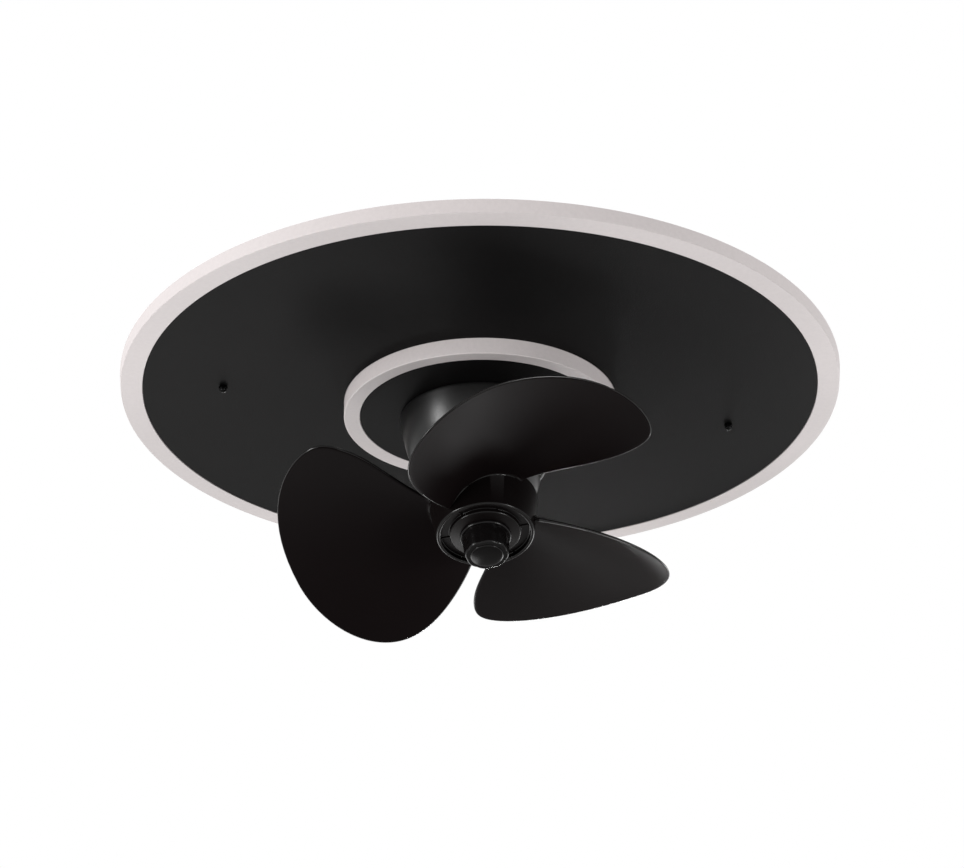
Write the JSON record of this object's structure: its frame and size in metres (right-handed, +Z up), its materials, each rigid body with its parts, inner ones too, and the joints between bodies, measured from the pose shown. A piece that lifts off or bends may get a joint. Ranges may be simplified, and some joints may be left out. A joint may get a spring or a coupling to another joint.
{
  "type": "ceiling fan with light",
  "caption": "Shallow round ceiling light with black cover plates and a swivelling, tilting fan head whose curved propeller is locked on by a lobed knob.",
  "frame": {"origin": "middle of the bracket face that lies against the ceiling", "axes": "+Z up out of that face, the light and the fan hang below it; +X runs from one cap nut to the other, and the fan leans towards -Y"},
  "size_m": [0.5, 0.5, 0.1817],
  "materials": {
    "zinc_steel": "zinc plated",
    "white_paint": "satin powder coat",
    "grey_plastic": "matt moulding",
    "led_board": "white solder resist",
    "opal_acrylic": "frosted, translucent",
    "black_paint": "fine matt powder coat",
    "black_satin": "satin",
    "black_gloss": "gloss",
    "nut_gloss": "gloss black",
    "blade_plastic": "semi-gloss",
    "nylon": "natural",
    "copper_winding": "enamelled",
    "magnet": "dark sintered"
  },
  "bodies": {
    "light": {"ceiling_bracket": "zinc_steel", "bracket_screw_left": "zinc_steel", "bracket_screw_right": "zinc_steel", "base_pan": "white_paint", "led_driver": "grey_plastic", "fan_controller": "grey_plastic", "terminal_block": "grey_plastic", "outer_led_board": "led_board", "outer_diffuser": "opal_acrylic", "outer_cover": "black_paint", "cover_stud_left": "zinc_steel", "cap_nut_left": "nut_gloss", "cover_stud_right": "zinc_steel", "cap_nut_right": "nut_gloss", "inner_tray": "white_paint", "inner_led_board": "led_board", "inner_diffuser": "opal_acrylic", "inner_cover": "black_paint", "support_cup": "zinc_steel", "swivel_post": "zinc_steel", "post_screw_1": "zinc_steel", "post_screw_2": "zinc_steel", "post_screw_3": "zinc_steel", "post_nut": "zinc_steel"},
    "swivel": {"drum_shell": "black_satin", "upper_washer": "nylon", "tilt_yoke": "zinc_steel", "lower_washer": "nylon", "yoke_screw_left": "zinc_steel", "yoke_screw_right": "zinc_steel"},
    "head": {"ball_housing": "black_satin", "tilt_pivot_left": "zinc_steel", "tilt_washer_left": "nylon", "tilt_pivot_right": "zinc_steel", "tilt_washer_right": "nylon", "motor_can": "zinc_steel", "motor_end_cap": "zinc_steel", "front_bearing": "zinc_steel", "back_bearing": "zinc_steel", "motor_stator": "copper_winding", "motor_screw_1": "zinc_steel", "motor_screw_2": "zinc_steel", "motor_screw_3": "zinc_steel"},
    "fan": {"motor_shaft": "zinc_steel", "shaft_circlip": "zinc_steel", "motor_rotor": "magnet", "drive_pin": "zinc_steel", "propeller": "blade_plastic", "lock_knob": "black_gloss"}
  },
  "joints": [
    {"name": "head_swivel", "type": "hinge", "parent": "light", "child": "swivel", "pos_m": [0, 0, -0.0837], "axis": [0, 0, 1], "range_deg": [-170, 170]},
    {"name": "head_tilt", "type": "hinge", "parent": "swivel", "child": "head", "pos_m": [0, 0, -0.0837], "axis": [1, 0, 0], "range_deg": [-10, 15]},
    {"name": "fan_spin", "type": "hinge", "parent": "head", "child": "fan", "pos_m": [0, 0, -0.0837], "axis": [0, -0.2588, -0.9659], "continuous": true}
  ]
}
